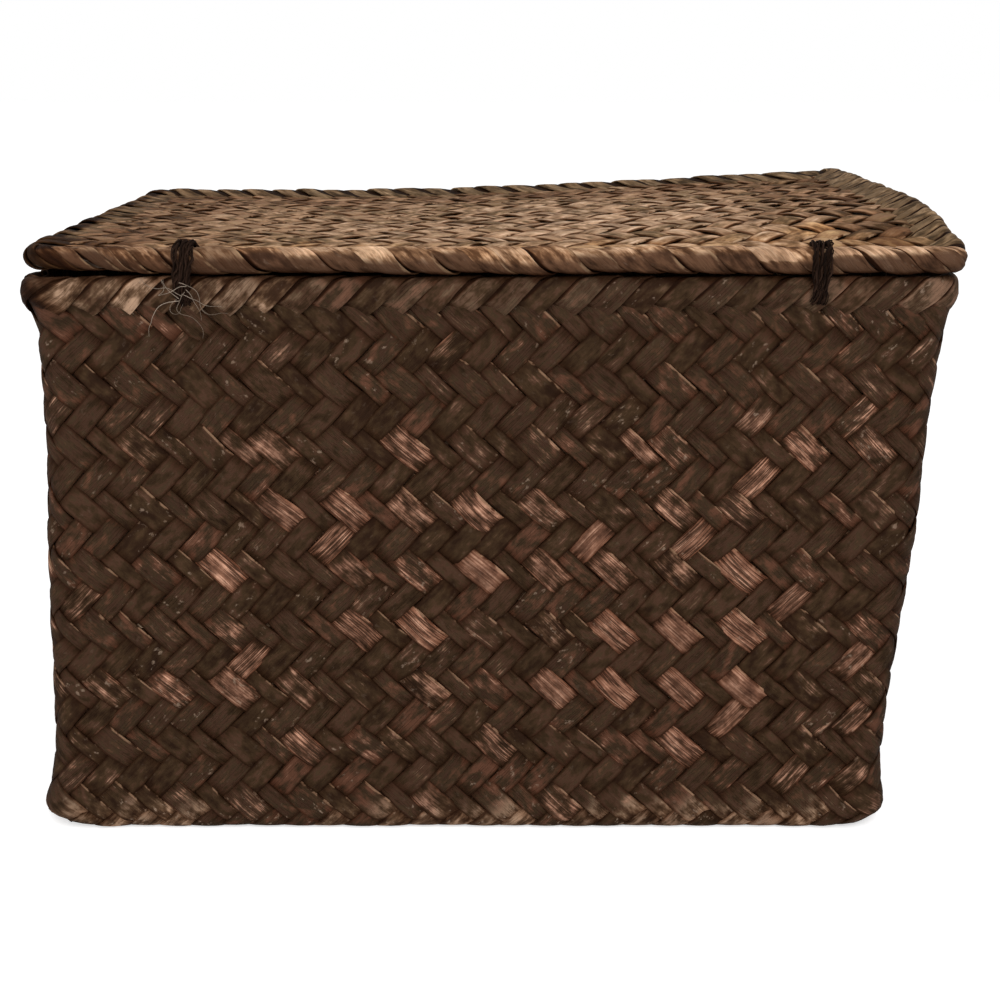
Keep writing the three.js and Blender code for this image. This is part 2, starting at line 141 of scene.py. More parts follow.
# Ties
TIE_TURNS = 3
TIE_RADIUS = 6.6  # from the roll's axis to the cord's, which is drawn tight
TIE_LEG_FOOT = BODY_HEIGHT - 4.0
TIE_GATHER = 0.35  # the share by which the turns draw together at their feet
CORD_PITCH = 2.7
CORD_WIDTH = CORD_PITCH * (TIE_TURNS - 0.2)  # along the roll, from a tie's first leg to its last
CORD_STRANDS = 9
CORD_TWIST = 18.0  # along the cord, for one turn of its strands
CORD_CORE = 0.7  # from the cord's middle to a strand's
CORD_STEP = 0.7
KNOT_RADIUS = 2.0
KNOT_RISE = 1.5  # of the last knot over the first
FIBRE_STEP = 0.5
FIBRE_REACH = 6.0  # how far in front of its tie a loose fibre may stand
FIBRE_GAP = 1.2

# Plait
WALL_STRIPS = 88
WEAVE_ROW = 6.32  # up the wall from one crossing of two strips to the next
WEAVE_TWIST = 0.116  # how far the plait runs back round the wall for each millimetre up
WEAVE_FOOT = 13.3
WEAVE_START = -9.1
WEAVE_REPEAT = 4  # rows
FLOAT_HALF = 1.25  # rows from a float's middle to its ends
WAVE_POWER = 0.7  # below 1, so that a float is flatter than a sine
WIDE_SHARE = 1.24  # a wide strip's width as a share of the mean; a narrow one has what is left of 2
WALL_SEAT = -0.75  # the middle of the walls' weave, from their surface
WALL_RELIEF = 0.95
FOLD_TILT = 0.4
FOLD_TAN_X = (-175, -100, -60, 90, 130)  # places from left to right, and how tan the fold is there; the dark middle is partly dirt and partly a painted shadow of the lid
FOLD_TAN = (0.8, 0.75, 0.15, 0.05, 0.25)
WEAR_MIDDLE = (30.0, 98.0)  # of a long side, along it and up
WEAR_REACH = (135.0, 95.0, 80.0)  # along a long side, along a short one, and up
WEAR_FALL = 0.7
STRIP_THICKNESS = 0.5
POINT_STEP = 1.8  # along a strip
PLAIN_POINT_STEP = 3.2
FEWEST_POINTS = 4

# Flat and plain plaits
FLAT_SINK = 0.1  # how far their highest floats lie under the surface
PLAIN_RELIEF = 0.45
PLAIN_SHARE = 0.97  # a strip's width as a share of the pitch
PLAIN_CUP = 0.15
ROUGH_X = (60.0, 120.0)  # between these, the lid's top gets rougher
PANEL_HALF = ROLL_HALF - 2
BASE_HALF = BODY_HALF - FOOT_RADIUS + 1.5  # a little onto the foot's round
BASE_CORNER = BODY_CORNER + 8
FLOOR_HALF = BODY_HALF - WALL_STACK - 1
FLOOR_CORNER = BODY_CORNER - 4

# Camera and surroundings
CAMERA_LENS = 55.6
CAMERA_SENSOR = 36.0
CAMERA_OFFSET = np.array([1.82, -572.7, 72.3])  # from the middle of the lid's front edge, at its top
CAMERA_DROP = 16.5  # how far it looks down, in degrees
FLOOR_REACH = 8.0  # in metres, as the lamps' places and sizes are
FLOOR_WHITE = (0.86, 0.86, 0.86, 1.0)
FLOOR_GLOW = 0.58  # for the camera alone
SKY_LIGHT = 0.55
LAMP_AIM = (0, 0, 0.12)
LAMP_SIZE = 0.9
WHITE = (1.0, 1.0, 1.0, 1.0)


class Outline:
    """A rounded rectangle by distance round it, from the middle of the tied side, anticlockwise."""

    def __init__(self, half, corner):
        x, y = half - corner
        arc = corner * math.pi / 2
        lengths = np.array([x, arc, 2 * y, arc, 2 * x, arc, 2 * y, arc, x])
        self.corner = corner
        self.starts = np.concatenate([[0], np.cumsum(lengths)])
        self.total = self.starts[-1]
        self.straights = {
            0: ((0, -half[1]), (1, 0)),
            2: ((half[0], -y), (0, 1)),
            4: ((x, half[1]), (-1, 0)),
            6: ((-half[0], y), (0, -1)),
            8: ((-x, -half[1]), (1, 0)),
        }
        self.arcs = {
            1: ((x, -y), -math.pi / 2),
            3: ((x, y), 0.0),
            5: ((-x, y), math.pi / 2),
            7: ((-x, -y), math.pi),
        }

    def at(self, s):
        """Points at distances s, and the directions that lead out there."""
        s = np.mod(s, self.total)
        place = np.zeros(s.shape + (2,))
        out = np.zeros(s.shape + (2,))
        stretch = np.clip(np.searchsorted(self.starts, s, side="right") - 1, 0, 8)
        for i, (start, along) in self.straights.items():
            here = stretch == i
            travel = (s[here] - self.starts[i])[:, None]
            place[here] = np.array(start) + travel * np.array(along)
            out[here] = (along[1], -along[0])
        for i, (centre, first) in self.arcs.items():
            here = stretch == i
            angle = first + (s[here] - self.starts[i]) / self.corner
            out[here] = np.stack([np.cos(angle), np.sin(angle)], axis=-1)
            place[here] = np.array(centre) + self.corner * out[here]
        return place, out


class Section:
    """A line in the plane of out and up, by distance along it, with its normal to the right."""

    def __init__(self, points):
        points = np.array(points)
        self.travel = np.concatenate([[0], np.cumsum(np.hypot(*np.diff(points, axis=0).T))])
        along = np.gradient(points, self.travel, axis=0)
        along /= np.hypot(*along.T)[:, None]
        self.points = points
        self.normals = np.stack([along[:, 1], -along[:, 0]], axis=-1)
        self.end = self.travel[-1]

    def at(self, w, h):
        """How far out and up the line is at w, once h is added along its normal."""
        pick = [np.interp(w, self.travel, self.points[:, k]) for k in (0, 1)]
        normal = [np.interp(w, self.travel, self.normals[:, k]) for k in (0, 1)]
        return pick[0] + h * normal[0], pick[1] + h * normal[1]


def ramp(x, low, high):
    """0 at low and 1 at high, smooth between. It falls where low is the greater one."""
    x = np.clip((x - low) / (high - low), 0, 1)
    return x * x * (3 - 2 * x)


def hill(x, y, middle, reach):
    """1 at a middle, and less round it, by a reach along x and one along y."""
    return np.exp(-(((x - middle[0]) / reach[0]) ** 2) - ((y - middle[1]) / reach[1]) ** 2)


def bulges(length, height, count, size):
    """A gentle random surface that closes on itself after a length."""
    turns = rng.integers(1, 7, count)
    rises = rng.uniform(0.3, 2.2, count)
    phases = rng.uniform(0, 2 * math.pi, count)
    sizes = rng.normal(0, 1, count)
    sizes *= size / np.sqrt((sizes**2).sum() / 2)

    def at(s, t):
        waves = zip(turns, rises, phases, sizes)
        return sum(a * np.sin(2 * math.pi * (n * s / length + m * t / height) + p) for n, m, p, a in waves)

    return at


def wobble(u, length, size):
    """A gentle random line along a strip."""
    total = np.zeros_like(u)
    for k in (1, 2, 3):
        wave = length * rng.uniform(0.6, 1.6) / k
        total += size / k * np.sin(2 * math.pi * (u / wave + rng.uniform()))
    return total


# The walls as a surface: s runs round them, t up from the base and over the rim, and h outwards
WALL = Outline(BODY_HALF, BODY_CORNER)
STRIP_STEP = WALL.total / WALL_STRIPS
ROW_HALF = STRIP_STEP / 2
PITCH = ROW_HALF * ROOT2


def wall_section():
    """The walls' outside: the foot's round, straight up, out to the fold, and over its arch."""
    foot_turn = np.linspace(0, math.pi / 2, 11)
    points = [(FOOT_RADIUS * (math.sin(a) - 1), FOOT_RADIUS * (1 - math.cos(a))) for a in foot_turn]
    straight_z = FOOT_RADIUS + 4
    fold_z = BODY_HEIGHT - FOLD_START - FOLD_STEP
    arch_z = BODY_HEIGHT - ARCH_RADIUS
    points += [(0.0, z) for z in np.linspace(straight_z, fold_z, 40)]
    for share in np.linspace(0, 1, 9)[1:-1]:
        points.append((FOLD_OUT * ramp(share * FOLD_HASTE, 0, 1), fold_z + (arch_z - fold_z) * share))
    for angle in np.linspace(0, math.pi, 15):
        points.append((ARCH_OUT + ARCH_RADIUS * math.cos(angle), arch_z + ARCH_RADIUS * math.sin(angle)))
    inner = ARCH_OUT - ARCH_RADIUS
    points += [(inner + FOLD_SLANT * share, arch_z - FOLD_INSIDE * share) for share in (0.5, 1.0)]
    return Section(points)


WALL_UP = wall_section()
FOOT_ARC = FOOT_RADIUS * math.pi / 2
FOLD_T = FOOT_ARC + BODY_HEIGHT - FOLD_START - FOOT_RADIUS
ARCH_T = FOOT_ARC + BODY_HEIGHT - FOOT_RADIUS - 0.5
wall_bulges = bulges(WALL.total, BODY_HEIGHT, 9, 0.6)


def wall_surface(s, t, h):
    place, outward = WALL.at(s)
    _, level = WALL_UP.at(t, 0)
    h = h + wall_bulges(s, t) * ramp(level, *BULGE_RISE) * ramp(BODY_HEIGHT - level, *BULGE_FALL)
    out, z = WALL_UP.at(t, h)
    rim = RIM_FLARE * ramp(z, BODY_HEIGHT - RIM_FLARE_HEIGHT, BODY_HEIGHT)
    to_corner = np.hypot(BODY_HALF[0] - np.abs(place[..., 0]), BODY_HALF[1] - np.abs(place[..., 1]))
    ear = FOOT_EAR * ramp(to_corner, FOOT_EAR_REACH, 0)
    reach = out + rim + (FOOT_FLARE + ear) * ramp(z, FOOT_FLARE_HEIGHT, 0)
    corner = ramp(to_corner, CORNER_REACH, 0)
    worn = corner * ramp(z, CORNER_TUCK_HEIGHT, 0)
    reach = reach - CORNER_TUCK * worn
    z = z + CORNER_LIFT * worn
    at_lip = (place[..., 0] < 0) & (place[..., 1] < 0)
    reach = reach + LIP_FLARE * at_lip * corner * ramp(BODY_HEIGHT - z, *LIP_RISE)
    x = FOOT_MIDDLE[0] + LEAN * z / BODY_HEIGHT + place[..., 0] + outward[..., 0] * reach
    y = FOOT_MIDDLE[1] + place[..., 1] + outward[..., 1] * reach
    return np.stack([x, y, z], axis=-1)


def lining_surface(s, t, h):
    """The inside of the walls, with h into the box."""
    return wall_surface(s, t, -WALL_STACK - h)


def base_surface(x, y, h):
    """The underside of the base, with h down."""
    return np.stack([FOOT_MIDDLE[0] + x, FOOT_MIDDLE[1] + y, -h], axis=-1)


def floor_surface(x, y, h):
    return np.stack([FOOT_MIDDLE[0] + x, FOOT_MIDDLE[1] + y, WALL_STACK + h], axis=-1)


# The lid's surfaces, warped as the lid is
panel_bulges = bulges(600.0, 600.0, 7, 0.4)


def lid_place(x, y, up):
    across = np.clip(1 - (ROLL_HALF[0] + ROLL_RADIUS - x) / LID_CURL_WIDTH, 0, 1)
    away = np.clip((y + ROLL_HALF[1] - LID_CURL_START) / LID_CURL_REACH, 0, 1)
    curl = LID_CURL * across**LID_CURL_POWER * np.sin(away * math.pi / 2)
    return np.stack([LID_MIDDLE[0] + x, LID_MIDDLE[1] + y, HINGE[2] + up + curl], axis=-1)


def panel_surface(x, y, h):
    return lid_place(x, y, PANEL_TOP + h + panel_bulges(x, y))


def underside_surface(x, y, h):
    """The lid's underside, with h down."""
    return lid_place(x, y, PANEL_FOOT - h + panel_bulges(x, y))


# The lid's rolled edge: s runs round the lid, and w from under the roll over its outside to its top
ROLL = Outline(ROLL_HALF, LID_CORNER - ROLL_RADIUS)


def roll_section():
    turn = np.linspace(WRAP_FIRST, WRAP_LAST, 34)
    points = [(ROLL_RADIUS * math.cos(angle), ROLL_RADIUS * math.sin(angle)) for angle in turn]
    return Section([WRAP_START] + points + WRAP_TAIL)


ROLL_ROUND = roll_section()
ROLL_TOP = ROLL_ROUND.travel[1] + ROLL_RADIUS * (math.pi / 2 - WRAP_FIRST)


def roll_surface(s, w, h):
    place, outward = ROLL.at(s)
    out, up = ROLL_ROUND.at(w, h)
    thin = LEFT_THIN * ramp(place[..., 0], *LEFT_THIN_X) * ramp(place[..., 1], *LEFT_THIN_Y)
    out = out * (1 - thin)
    up = up + (ROLL_RADIUS - up) * thin
    return lid_place(place[..., 0] + outward[..., 0] * out, place[..., 1] + outward[..., 1] * out, up)


class Strands:
    """Closed ribbons and tubes gathered into one mesh, with what each point knows of its strand."""

    VECTORS = ("grain", "spot")
    NUMBERS = ("tone", "shade", "wear", "tan", "scuff", "rim", "overlap_shadow", "gloom")

    def __init__(self):
        self.points = []
        self.quads = []
        self.caps = []
        self.facts = {name: [] for name in self.VECTORS + self.NUMBERS}
        self.count = 0

    def add(self, rings, grain, spot, facts):
        """Rings of points from one end to the other. The numbers of facts are given once a ring."""
        steps, around = rings.shape[:2]
        index = self.count + np.arange(steps * around).reshape(steps, around)
        turned = np.roll(index, -1, axis=1)
        quads = np.stack([index[:-1], turned[:-1], turned[1:], index[1:]], axis=-1)
        self.points.append(rings.reshape(-1, 3))
        self.quads.append(quads.reshape(-1, 4))
        self.caps += [index[0][::-1], index[-1]]
        self.facts["grain"].append(np.stack(np.broadcast_arrays(*grain), axis=-1).reshape(-1, 3))
        self.facts["spot"].append(np.stack(np.broadcast_arrays(*spot), axis=-1).reshape(-1, 3))
        for name in self.NUMBERS:
            value = np.broadcast_to(facts.get(name, 0.0), steps)
            self.facts[name].append(np.repeat(value, around))
        self.count += steps * around

    def build(self, name, material, crease=50):
        mesh = bpy.data.meshes.new(name)
        points = np.concatenate(self.points) * MM
        quads = np.concatenate(self.quads)
        corners = np.concatenate([quads.ravel()] + self.caps)
        sizes = np.concatenate([np.full(len(quads), 4), [len(ring) for ring in self.caps]])
        starts = np.concatenate([[0], np.cumsum(sizes)[:-1]])
        mesh.vertices.add(len(points))
        mesh.vertices.foreach_set("co", points.ravel().astype(np.float32))
        mesh.loops.add(len(corners))
        mesh.loops.foreach_set("vertex_index", corners.astype(np.int32))
        mesh.polygons.add(len(sizes))
        mesh.polygons.foreach_set("loop_start", starts.astype(np.int32))
        mesh.update(calc_edges=True)
        for fact in self.VECTORS:
            attribute = mesh.attributes.new(fact, "FLOAT_VECTOR", "POINT")
            attribute.data.foreach_set("vector", np.concatenate(self.facts[fact]).ravel().astype(np.float32))
        for fact in self.NUMBERS:
            attribute = mesh.attributes.new(fact, "FLOAT", "POINT")
            attribute.data.foreach_set("value", np.concatenate(self.facts[fact]).astype(np.float32))
        mesh.shade_smooth()
        mesh.set_sharp_from_angle(angle=math.radians(crease))
        mesh.materials.append(material)
        piece = bpy.data.objects.new(name, mesh)
        bpy.context.scene.collection.objects.link(piece)
        return piece


# Points across a strip's top, from its left edge to its right one, and which of them are its edges
ACROSS = np.array([-1.0, -0.62, 0.0, 0.62, 1.0])
EDGES = [4, 0]


def lay_ribbon(strands, surface, s, t, lateral, width, height, facts, u, cup=0.22, tilt=0.0, flip=False):
    """A strip along (s, t) on a surface. lateral leads to its right side, and flip turns its top over.

    width, height, tilt and the numbers of facts follow the strip, as u, its length so far, does.
    """
    v = ACROSS[None, :] * (-1 if flip else 1)
    side = v * width[:, None] / 2
    tilt = np.broadcast_to(tilt, s.shape)[:, None]
    top = height[:, None] - cup * v**2 + tilt * v
    across_s = s[:, None] + lateral[0] * side
    across_t = t[:, None] + lateral[1] * side
    under = surface(across_s[:, EDGES], across_t[:, EDGES], top[:, EDGES] - STRIP_THICKNESS)
    rings = np.concatenate([surface(across_s, across_t, top), under], axis=1)
    side = np.concatenate([side, side[:, EDGES]], axis=1)
    v = np.concatenate([v, v[:, EDGES]], axis=1)
    along = np.broadcast_to(facts.get("along", 0.0), s.shape)[:, None]
    grain = (u[:, None], side, rng.uniform(0, 100))
    strands.add(rings, grain, (v, along, 0.0), facts)


# The weave: each strip passes over two strips and under two
def wave(c):
    """How high the left-rising family lies at a level c: 1 over the others, and -1 under them."""
    value = np.sin(np.pi * (c + 0.5) / 2)
    return np.sign(value) * np.abs(value) ** WAVE_POWER


class Floats:
    """The stretches of one strip from crossing under to crossing under, and a random value for each."""

    def __init__(self, c, rising):
        first = 2.5 if rising else 0.5
        number = np.floor((c - first) / WEAVE_REPEAT + 0.5).astype(int)
        self.number = number - number.min()
        self.count = self.number.max() + 1
        self.middle = number * WEAVE_REPEAT + first
        self.along = (c - self.middle) / FLOAT_HALF

    def each(self, low=0.0, high=1.0):
        return rng.uniform(low, high, self.count)[self.number]

    def some(self, share):
        """1 on about a share of the floats, and 0 on the others."""
        return self.each() > 1 - share


def side_wear(s, t):
    """How rubbed the walls are at a place: most in the lower middle of a side."""
    place, outward = WALL.at(s)
    _, z = WALL_UP.at(t, 0)
    on_long_side = np.abs(outward[:, 1]) > 0.5
    along_long = (place[:, 0] - WEAR_MIDDLE[0]) / WEAR_REACH[0]
    along = np.where(on_long_side, along_long, place[:, 1] / WEAR_REACH[1])
    return np.exp(-WEAR_FALL * along**2 - ((z - WEAR_MIDDLE[1]) / WEAR_REACH[2]) ** 2)


def float_wear(wide, rubbed, luck):
    """How rubbed a strip's floats are: most of them on a wide strip, and few on the others."""
    if wide:
        return rubbed * (0.35 + 0.7 * luck) + 0.2 * (luck > 0.8)
    return 0.6 * (luck > 0.93) * rubbed + 0.3 * luck


def lip_shade(place, t):
    """Shade on the fold's outer leg, where it stands out at the tied side's left corner."""
    return ramp(place[:, 0], -162, -167) * (place[:, 1] < -90) * ramp(t, ARCH_T + 1, ARCH_T - 2)


def wall_slope(family):
    """How far a strip of a family runs round the wall for each millimetre up."""
    return family * ROW_HALF / WEAVE_ROW - WEAVE_TWIST


def plait_wall(rising, numbers, strands):
    """Strips of one family up the walls. Those that rise to the right turn over the rim as its fold."""
    family = 1 if rising else -1
    slope = wall_slope(family)
    stretch = math.hypot(1, slope)
    lateral = np.array([1, -slope]) / stretch
    end = WALL_UP.end if rising else FOLD_T + 9
    t = np.linspace(0, end, int(end * stretch / POINT_STEP))
    u = t * stretch
    c = (t - WEAVE_FOOT) / WEAVE_ROW
    fold = ramp(t, FOLD_T, FOLD_T + 5)
    foot = ramp(t, 19, 10)
    wider_foot = 0.15 * ramp(t, 12, 7)
    arch_shade = 0.55 * ramp(t, ARCH_T, ARCH_T + 2.5)
    for i in numbers:
        start = WEAVE_START + i * STRIP_STEP
        s = start + slope * (t - WEAVE_FOOT)
        share = 1.0 if rising else (WIDE_SHARE if i % 2 == 0 else 2 - WIDE_SHARE)
        floats = Floats(c, rising)
        level = wave(c) * -family
        level = level * (1 - fold) + family * fold
        middle = floats.middle * WEAVE_ROW
        rubbed = side_wear(start + slope * middle, WEAVE_FOOT + middle)
        wear = float_wear(share > 1, rubbed, floats.each())
        lift = floats.each(0.75, 1.15) * min(share, 1.0)
        height = WALL_SEAT + WALL_RELIEF * level * np.where(level > 0, lift, 1) + wobble(u, 90, 0.08)
        height = height - ARCH_SINK * ramp(t, ARCH_T - 5, ARCH_T - 2)
        width = STRIP_STEP / stretch * share * (1 + wobble(u, 70, 0.025) + wider_foot)
        width = width * (1 + fold * rising * rng.uniform(0.02, 0.12))
        place = WALL.at(s)[0]
        tan = np.interp(place[:, 0], FOLD_TAN_X, FOLD_TAN)
        bleached = foot * floats.some(0.65) * floats.each(0.4, 1.0)
        facts = {
            "tone": rng.uniform(),
            "shade": floats.each(),
            "wear": wear * (1 - fold) * (1 - bleached),
            "tan": fold * rising * tan * rng.uniform(0.3, 1.3) + bleached,
            "scuff": 0.15 + 0.9 * floats.some(0.25) + 1.5 * foot,
            # which floats get a painted highlight along their right edge
            "rim": (1 - rising) * floats.some(0.4),
            "along": floats.along * (1 - fold),
            # painted shadow along the side of each fold strip that lies under the next one
            "overlap_shadow": fold * rising,
            "gloom": arch_shade + 0.8 * fold * lip_shade(place, t),
        }
        shift = wobble(u, 90, 0.4) * ramp(t, 0, 20)
        tilt = floats.each(-0.15, 0.15) * (1 - fold) + FOLD_TILT * fold * rising
        lay_ribbon(
            strands,
            wall_surface,
            s + lateral[0] * shift,
            t + lateral[1] * shift,
            lateral,
            width,
            height,
            facts,
            u,
            tilt=tilt,
        )


def line_walls(strands, rising):
    """The lining's strips of one family up the inside of the walls."""
    last = FOLD_T + 5
    t = np.linspace(FOOT_ARC, last, int((last - FOOT_ARC) * ROOT2 / PLAIN_POINT_STEP))
    u = t * ROOT2
    c = t / ROW_HALF
    family = 1 if rising else -1
    lateral = np.array([1, -family]) / ROOT2
    height = -FLAT_SINK - PLAIN_RELIEF * (1 + wave(c) * family)
    width = np.full_like(t, PITCH * PLAIN_SHARE)
    floats = Floats(c, rising)
    for i in range(WALL_STRIPS):
        s = i * STRIP_STEP + family * t
        facts = {"tone": rng.uniform(), "shade": floats.each(), "wear": 0.25, "scuff": 0.2}
        lay_ribbon(strands, lining_surface, s, t, lateral, width, height, facts, u, cup=PLAIN_CUP, flip=True)


def inside(x, y, half, corner):
    """Whether a point lies in a rounded rectangle."""
    over_x = np.maximum(np.abs(x) - half[0] + corner, 0)
    over_y = np.maximum(np.abs(y) - half[1] + corner, 0)
    return np.hypot(over_x, over_y) < corner


def plait_flat(strands, surface, half, corner, look, flip=False):
    """A plait in the plane of x and y, cut to a rounded rectangle. look holds its sizes and its wear."""
    reach = half.sum()
    count = int(reach / STRIP_STEP) + 1
    for rising in (False, True):
        family = 1 if rising else -1
        lateral = np.array([1, -family]) / ROOT2
        for i in range(-count, count + 1):
            y = np.arange(-reach, reach, look["step"] / ROOT2)
            x = i * STRIP_STEP + family * y
            keep = inside(x, y, half, corner)
            if keep.sum() < FEWEST_POINTS:
                continue
            x, y = x[keep], y[keep]
            u = y * ROOT2
            c = y / ROW_HALF
            floats = Floats(c, rising)
            level = wave(c) * -family
            lift = floats.each(*look["lift"])
            luck = floats.each()
            relief = look["relief"] * (1 + look["rough"] * ramp(x, *ROUGH_X))
            height = -FLAT_SINK + relief * (level * np.where(level > 0, lift, 1) - 1) + wobble(u, 80, 0.1)
            width = PITCH * look["share"] * (1 + wobble(u, 60, 0.03))
            facts = {
                "tone": rng.uniform(),
                "shade": floats.each(),
                "wear": look["wear"](x, y) * (0.55 + 0.6 * luck),
                "tan": look["tan"](x, y) * floats.each(0.2, 1.0),
                "scuff": look["scuff"],
                # which floats get a painted highlight along their right edge
                "rim": floats.some(0.5),
                "gloom": look["gloom"](x, y) * floats.each(),
                "along": floats.along,
            }
            shift = wobble(u, 110, 0.3)
            tilt = floats.each(-1, 1) * look["tilt"]
            lay_ribbon(
                strands,
                surface,
                x + lateral[0] * shift,
                y + lateral[1] * shift,
                lateral,
                width,
                height,
                facts,
                u,
                cup=look["cup"],
                tilt=tilt,
                flip=flip,
            )


def wrap_wear(x, in_front):
    """How rubbed a wrap is: most at the right of the tied side."""
    if x < LEFT_END:
        return 0.5
    if in_front:
        return np.interp(x, BARE_X, (1.0, 1.3))
    return 0.45


def wrap_roll(tan_strands, olive_strands):
    """The wraps of the lid's edge, each with its right side on the next: tan in front, olive elsewhere."""
    steps = rng.uniform(0.75, 1.25, ROLL_WRAPS)
    steps[RIGHT_WRAPS] *= RIGHT_WRAP_SHARE
    steps[LEFT_WRAPS] *= LEFT_WRAP_SHARE
    steps *= ROLL.total / steps.sum()
    w = np.linspace(0, ROLL_ROUND.end, 44)
    past_top = w - ROLL_TOP
    lateral = np.array([1.0, 0.0])
    taper = WRAP_TIP + (1 - WRAP_TIP) * ramp(ROLL_ROUND.end - w, 0, 6)
    on_panel = ramp(past_top, 2, 8)
    on_top = ramp(past_top, -5, -2) * ramp(past_top, 5, 2)
    # Painted shade on the roll's underside, where the wraps turn in under the panel
    under = 0.6 * ramp(past_top, -12.5, -15.5)
    shaded = ramp(past_top, -7, -3) * ramp(past_top, 5.5, 2.5)
    for i, start in enumerate(np.cumsum(steps)):
        s = start - WRAP_SLANT * past_top + wobble(w, 40, 0.35)
        place, outward = ROLL.at(np.array([start]))
        x, y = place[0]
        in_front = outward[0, 1] < -0.5
        at_right = outward[0, 0] > 0.5
        at_left = outward[0, 0] < -0.5
        at_left_corner = outward[0, 0] < -0.3 and y < -85
        in_left_end = x < LEFT_END
        width = taper * WRAP_COVER * (steps[i] + steps[(i + 1) % ROLL_WRAPS]) / 2
        height = rng.uniform(-0.5, 0.2) - 0.3 + wobble(w, 30, 0.2) - 0.3 * in_front * on_top
        # How far before the roll's top a wrap turns tan and rubbed
        lead = rng.uniform(5, 12)
        # That part is partly real rubbing and partly a painted highlight on the roll's upper side; below it
        # the wrap stays darker, partly stain and partly painted shade
        wear = wrap_wear(x, in_front) * ramp(past_top, -lead, 4 - lead)
        end_shade = max(0.8 * at_left_corner, 0.18 * in_left_end)
        # How far the painted shadow under the next wrap spreads: most round the roll's top, and less on its
        # right side
        widest_shadow_band = 2.5 if at_right else 6.0
        shadow_band = np.interp(past_top, (-6, -3, 5, 13), (1.5, widest_shadow_band, widest_shadow_band, 1.5))
        facts = {
            "tone": rng.uniform(),
            "shade": rng.uniform(),
            "wear": wear * rng.choice([0.3, 0.5, 0.7, 0.9]),
            "tan": wear * (1 - 0.5 * on_panel) * rng.choice([0.6, 0.8, 1.0]),
            "scuff": 0.3,
            # which wraps get a painted highlight along their right edge
            "rim": 0.8 if in_left_end or at_right else 0.6 * (rng.uniform() > 0.6),
            # painted shadow on the side of each wrap that lies under the next one
            "overlap_shadow": 1.2 if in_front else shadow_band,
        }
        left_shade = at_left * shaded * rng.choice([0.4, 0.8, 0.95])
        facts["gloom"] = np.maximum(np.maximum(under, left_shade), end_shade)
        strands = tan_strands if in_front else olive_strands
        tilt = rng.uniform(0.5, 1.0)
        u = w + i * 7.7
        lay_ribbon(strands, roll_surface, s, w, lateral, width, height, facts, u, cup=0.8, tilt=tilt)


# Tubes: the ties' cords and loose fibres
def travel_along(points):
    """The distance along a line up to each of its points."""
    return np.concatenate([[0], np.cumsum(np.linalg.norm(np.diff(points, axis=0), axis=1))])


def frames_along(points):
    """Two directions across a line at each of its points, turned as little as can be."""
    along = np.gradient(points, axis=0)
    along /= np.linalg.norm(along, axis=1)[:, None]
    side = np.cross(along[0], (0.3, 0.5, 0.8))
    sides = []
    for direction in along:
        side = side - direction * side.dot(direction)
        side = side / np.linalg.norm(side)
        sides.append(side)
    sides = np.array(sides)
    return sides, np.cross(along, sides)


def add_tube(strands, points, radius, facts, around=6):
    side, up = frames_along(points)
    angle = np.linspace(0, 2 * math.pi, around, endpoint=False)[None, :, None]
    radius = np.broadcast_to(radius, len(points))[:, None, None]
    rings = points[:, None] + radius * (np.cos(angle) * side[:, None] + np.sin(angle) * up[:, None])
    u = travel_along(points)
    grain = (u[:, None], angle[..., 0] * 0.4, rng.uniform(0, 100))
    spot = (np.zeros((len(points), around)), 0.0, 0.0)
    strands.add(rings, grain, spot, facts)


def resample(points, step):
    """The same line with a point about every step."""
    travel = travel_along(points)
    places = np.linspace(0, travel[-1], int(travel[-1] / step))
    return np.stack([np.interp(places, travel, points[:, k]) for k in range(3)], axis=-1)


def tie_path(tie_x):
    """A tie's way: out through the wall, over the roll and back in, turn after turn."""
    quarter = math.pi / 2
    loop = [(math.cos(a), TIE_LEG_FOOT, math.sin(a)) for a in np.linspace(-quarter, -2 * quarter, 8)]
    loop += [(math.cos(a), HINGE[2], math.sin(a)) for a in np.linspace(2 * quarter, 0, 16)]
    loop += [(math.cos(a), TIE_LEG_FOOT, math.sin(a)) for a in np.linspace(0, -quarter, 8)]
    loop = np.array([(HINGE[1] + TIE_RADIUS * y, z + TIE_RADIUS * dz) for y, z, dz in loop])
    turns = np.concatenate([loop[:-1]] * TIE_TURNS)
    travel = travel_along(turns)
    x = tie_x + (travel / travel[-1] - 0.5) * CORD_WIDTH
    path = np.column_stack([x, turns])
    knot_y = node_box("hinge_tie_left")[1][1] - KNOT_RADIUS
    first = [path[0][0], knot_y, path[0][2]]
    last = [path[-1][0], knot_y, path[-1][2] + KNOT_RISE]
    return np.vstack([first, path, last])


def knot(strands, end, way):
    """A knot at an end of a tie's cord, a little to one side of it."""
    share = np.linspace(0, 1, 12)
    middle = end + np.array([way * 0.5, 0.0, 0.0])
    line = middle + np.outer(share - 0.5, (way * 3.6, 0.4, 0.3))
    radius = 0.3 + 1.6 * np.sin(math.pi * share) ** 0.6
    add_tube(strands, line, radius, {"tone": rng.uniform(), "shade": rng.uniform()}, around=10)


